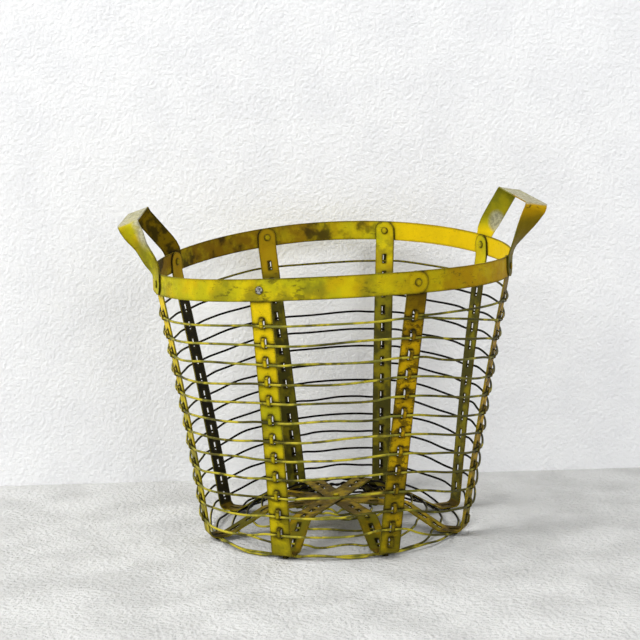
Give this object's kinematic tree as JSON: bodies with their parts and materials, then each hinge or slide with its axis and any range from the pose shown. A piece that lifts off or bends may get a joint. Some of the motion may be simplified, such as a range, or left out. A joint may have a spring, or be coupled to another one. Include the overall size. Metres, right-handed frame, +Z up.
{
  "type": "shopping basket",
  "caption": "Round open wire basket of lanced steel straps with a wire threaded round them, a riveted flat rim and fixed strap handles at the sides.",
  "frame": {"origin": "centre of the bounding box in plan, at the lowest point of the feet", "axes": "+X across the two handles, towards the right one; -Y is the front; +Z up"},
  "size_m": [0.4758, 0.4098, 0.3851],
  "materials": {
    "yellow_paint": "worn lemon-yellow paint with dark chips and olive stains",
    "painted_wire": "thin, rubbed yellow-green paint",
    "bare_rivet": "rubbed bare"
  },
  "bodies": {
    "root": {"rim_hoop": "yellow_paint", "strap_left_front_right_back": "yellow_paint", "strap_right_front_left_back": "yellow_paint", "strap_front_right_back_left": "yellow_paint", "strap_front_left_back_right": "yellow_paint", "crown_rivet": "yellow_paint", "handle_left": "yellow_paint", "handle_right": "yellow_paint", "rivet_front_right": "yellow_paint", "rivet_right_front": "yellow_paint", "rivet_right_back": "yellow_paint", "rivet_back_right": "yellow_paint", "rivet_back_left": "yellow_paint", "rivet_left_back": "yellow_paint", "rivet_left_front": "yellow_paint", "rivet_front_left": "bare_rivet", "side_wire_01": "painted_wire", "side_wire_02": "painted_wire", "side_wire_03": "painted_wire", "side_wire_04": "painted_wire", "side_wire_05": "painted_wire", "side_wire_06": "painted_wire", "side_wire_07": "painted_wire", "side_wire_08": "painted_wire", "side_wire_09": "painted_wire", "side_wire_10": "painted_wire", "side_wire_11": "painted_wire", "side_wire_12": "painted_wire", "foot_wire_01": "painted_wire", "foot_wire_02": "painted_wire", "base_wire_01": "painted_wire", "base_wire_02": "painted_wire", "base_wire_03": "painted_wire", "base_wire_04": "painted_wire", "base_wire_05": "painted_wire"}
  },
  "joints": []
}
